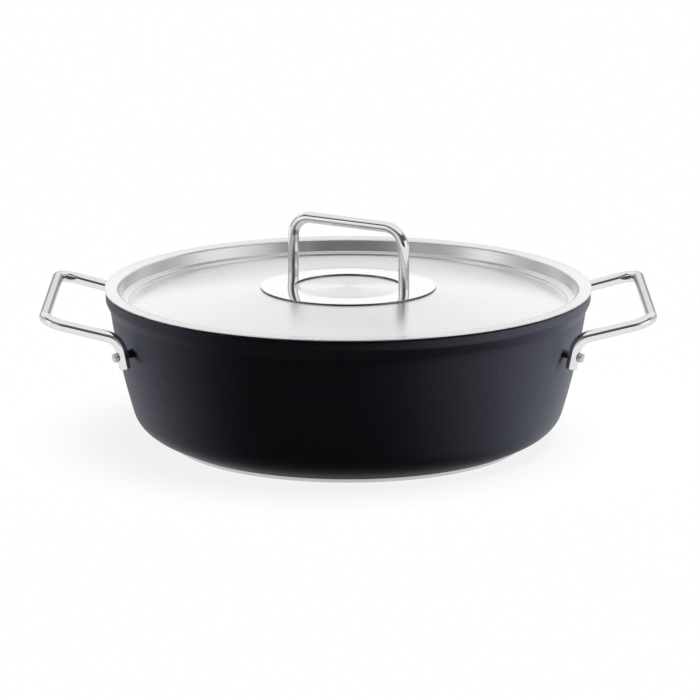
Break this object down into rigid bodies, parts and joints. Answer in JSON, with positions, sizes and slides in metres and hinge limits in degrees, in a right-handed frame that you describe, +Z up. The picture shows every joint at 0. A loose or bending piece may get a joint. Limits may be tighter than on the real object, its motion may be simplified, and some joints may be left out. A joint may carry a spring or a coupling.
{
  "type": "cooking pot",
  "caption": "Low wide cooking pot with a dark coated cast body, bent bar side handles and a recessed steel lid that lifts off by a bar handle on a polished ring.",
  "frame": {"origin": "middle of the base, on the surface that the pot stands on", "axes": "+X through the right side handle, +Z up along the pot's own axis, -Y towards the viewer of the picture"},
  "size_m": [0.367, 0.295, 0.1372],
  "materials": {
    "coated_casting": "black speckled non-stick coat over cast aluminium, satin",
    "base_steel": "fine turned rings",
    "handle_steel": "mirror polished stainless steel",
    "rivet_metal": "plain, slightly dull",
    "lid_steel": "satin, brushed round the axis",
    "ring_steel": "mirror polished stainless steel",
    "fixing_steel": "plain bright steel"
  },
  "bodies": {
    "pot": {"pot_body": "coated_casting", "base_disc": "base_steel", "handle_left": "handle_steel", "handle_right": "handle_steel", "handle_rivet_left_front": "rivet_metal", "handle_rivet_left_rear": "rivet_metal", "handle_rivet_right_front": "rivet_metal", "handle_rivet_right_rear": "rivet_metal"},
    "lid": {"lid_shell": "lid_steel", "lid_ring": "ring_steel", "lid_handle": "handle_steel", "lid_washer_left": "fixing_steel", "lid_washer_right": "fixing_steel", "lid_screw_left": "fixing_steel", "lid_screw_right": "fixing_steel"}
  },
  "joints": [
    {"name": "lid_lift", "type": "slide", "parent": "pot", "child": "lid", "axis": [0, 0, 1], "range_m": [0, 0.15]}
  ]
}
